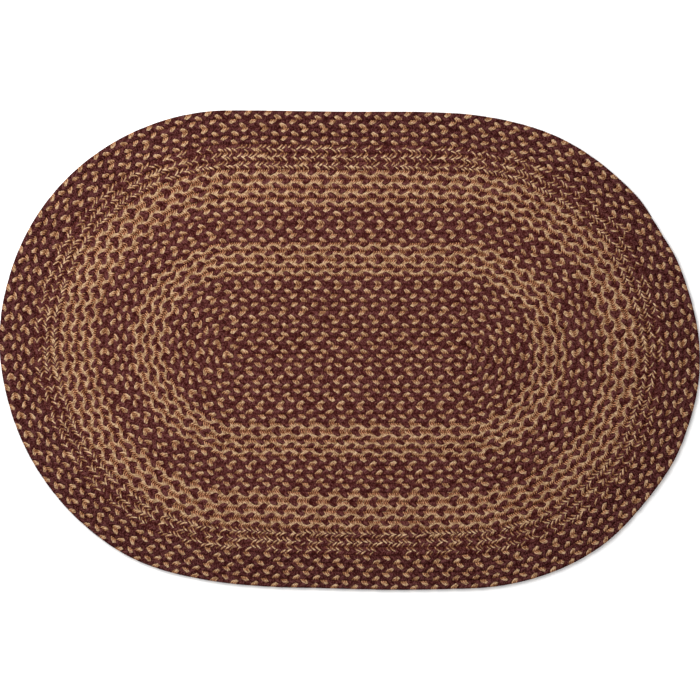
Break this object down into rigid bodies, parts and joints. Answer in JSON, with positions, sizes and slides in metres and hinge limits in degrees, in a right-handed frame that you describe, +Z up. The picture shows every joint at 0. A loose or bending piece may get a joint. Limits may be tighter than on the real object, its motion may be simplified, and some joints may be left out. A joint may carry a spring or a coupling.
{
  "type": "oval braided rug",
  "caption": "Oval rug of one flat three-strand jute braid, coiled and laced row to row, in burgundy and tan bands. Lies flat on a floor.",
  "frame": {"origin": "middle of the rug's box, on the floor that it lies on", "axes": "+X along the rug's length, +Y across it towards the side at the top of the picture, +Z up from the floor"},
  "size_m": [0.9138, 0.6258, 0.0082],
  "materials": {
    "jute_braid": "matt jute yarn, burgundy and tan"
  },
  "bodies": {
    "root": {"braided_rug": "jute_braid"}
  },
  "joints": []
}
